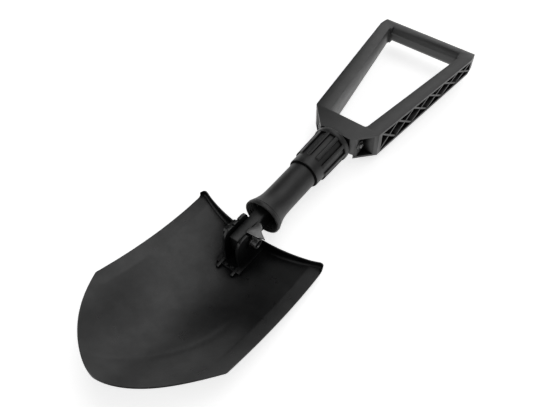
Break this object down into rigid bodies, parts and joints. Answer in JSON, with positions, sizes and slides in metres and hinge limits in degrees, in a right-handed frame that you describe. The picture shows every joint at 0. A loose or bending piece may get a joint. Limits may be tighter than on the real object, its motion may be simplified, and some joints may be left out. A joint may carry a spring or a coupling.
{
  "type": "camp shovel",
  "caption": "Folding camp shovel with a pointed dished steel blade, a flared shaft tube, a ribbed locking collar and an open-truss folding D-handle.",
  "frame": {"origin": "middle of the open tool's footprint, on the plane it lies on, front face up", "axes": "+X from the blade's point to the handle's grip, +Y to the left when looking from the blade's point towards the grip with the front up, +Z out of the blade's concave front"},
  "size_m": [0.604, 0.171, 0.0551],
  "materials": {
    "coated_steel": "satin black powder coat, slightly worn at edges",
    "anodised_tube": "satin black hard anodised",
    "nylon": "fine-textured black glass-filled nylon",
    "bare_steel": "dull plated steel",
    "lever_grey": "satin mid-grey",
    "seal_rubber": "matt black"
  },
  "bodies": {
    "shaft": {"shaft_tube": "anodised_tube", "tang": "coated_steel", "tang_plug": "nylon", "tang_pin": "bare_steel", "pivot_washer_left": "bare_steel", "pivot_washer_right": "bare_steel", "handle_tongue": "nylon", "tongue_pin": "bare_steel", "collar_stop_ring": "seal_rubber", "handle_washer_left": "bare_steel", "handle_washer_right": "bare_steel"},
    "blade": {"blade": "coated_steel", "hinge_bracket": "coated_steel", "rivet_front_left": "coated_steel", "rivet_front_right": "coated_steel", "rivet_rear_left": "coated_steel", "rivet_rear_right": "coated_steel", "pivot_pin": "coated_steel", "pivot_clip": "coated_steel", "lever_spring": "bare_steel"},
    "lever": {"lock_lever": "lever_grey"},
    "collar": {"collar": "nylon", "collar_seal": "seal_rubber"},
    "lock_bush": {"lock_bush": "bare_steel"},
    "handle": {"handle_frame": "nylon", "handle_pin": "bare_steel", "handle_pin_clip": "bare_steel"}
  },
  "joints": [
    {"name": "blade_fold", "type": "hinge", "parent": "shaft", "child": "blade", "pos_m": [-0.099, 0, 0.02817], "axis": [0, 1, 0], "range_deg": [0, 167]},
    {"name": "lever_press", "type": "hinge", "parent": "blade", "child": "lever", "pos_m": [-0.099, 0, 0.02817], "axis": [0, 1, 0], "range_deg": [0, 15], "stiffness_Nm_per_rad": 0.3},
    {"name": "collar_turn", "type": "hinge", "parent": "shaft", "child": "collar", "pos_m": [0.034, 0, 0.02817], "axis": [1, 0, 0], "range_deg": [0, 90]},
    {"name": "bush_slide", "type": "slide", "parent": "shaft", "child": "lock_bush", "axis": [1, 0, 0], "range_m": [0, 0.00051]},
    {"name": "handle_fold", "type": "hinge", "parent": "shaft", "child": "handle", "pos_m": [0.081, 0, 0.02817], "axis": [0, 1, 0], "range_deg": [0, 165]}
  ],
  "couplings": [
    {"joint": "bush_slide", "follows": "collar_turn", "m_per_rad": 0.000318}
  ]
}
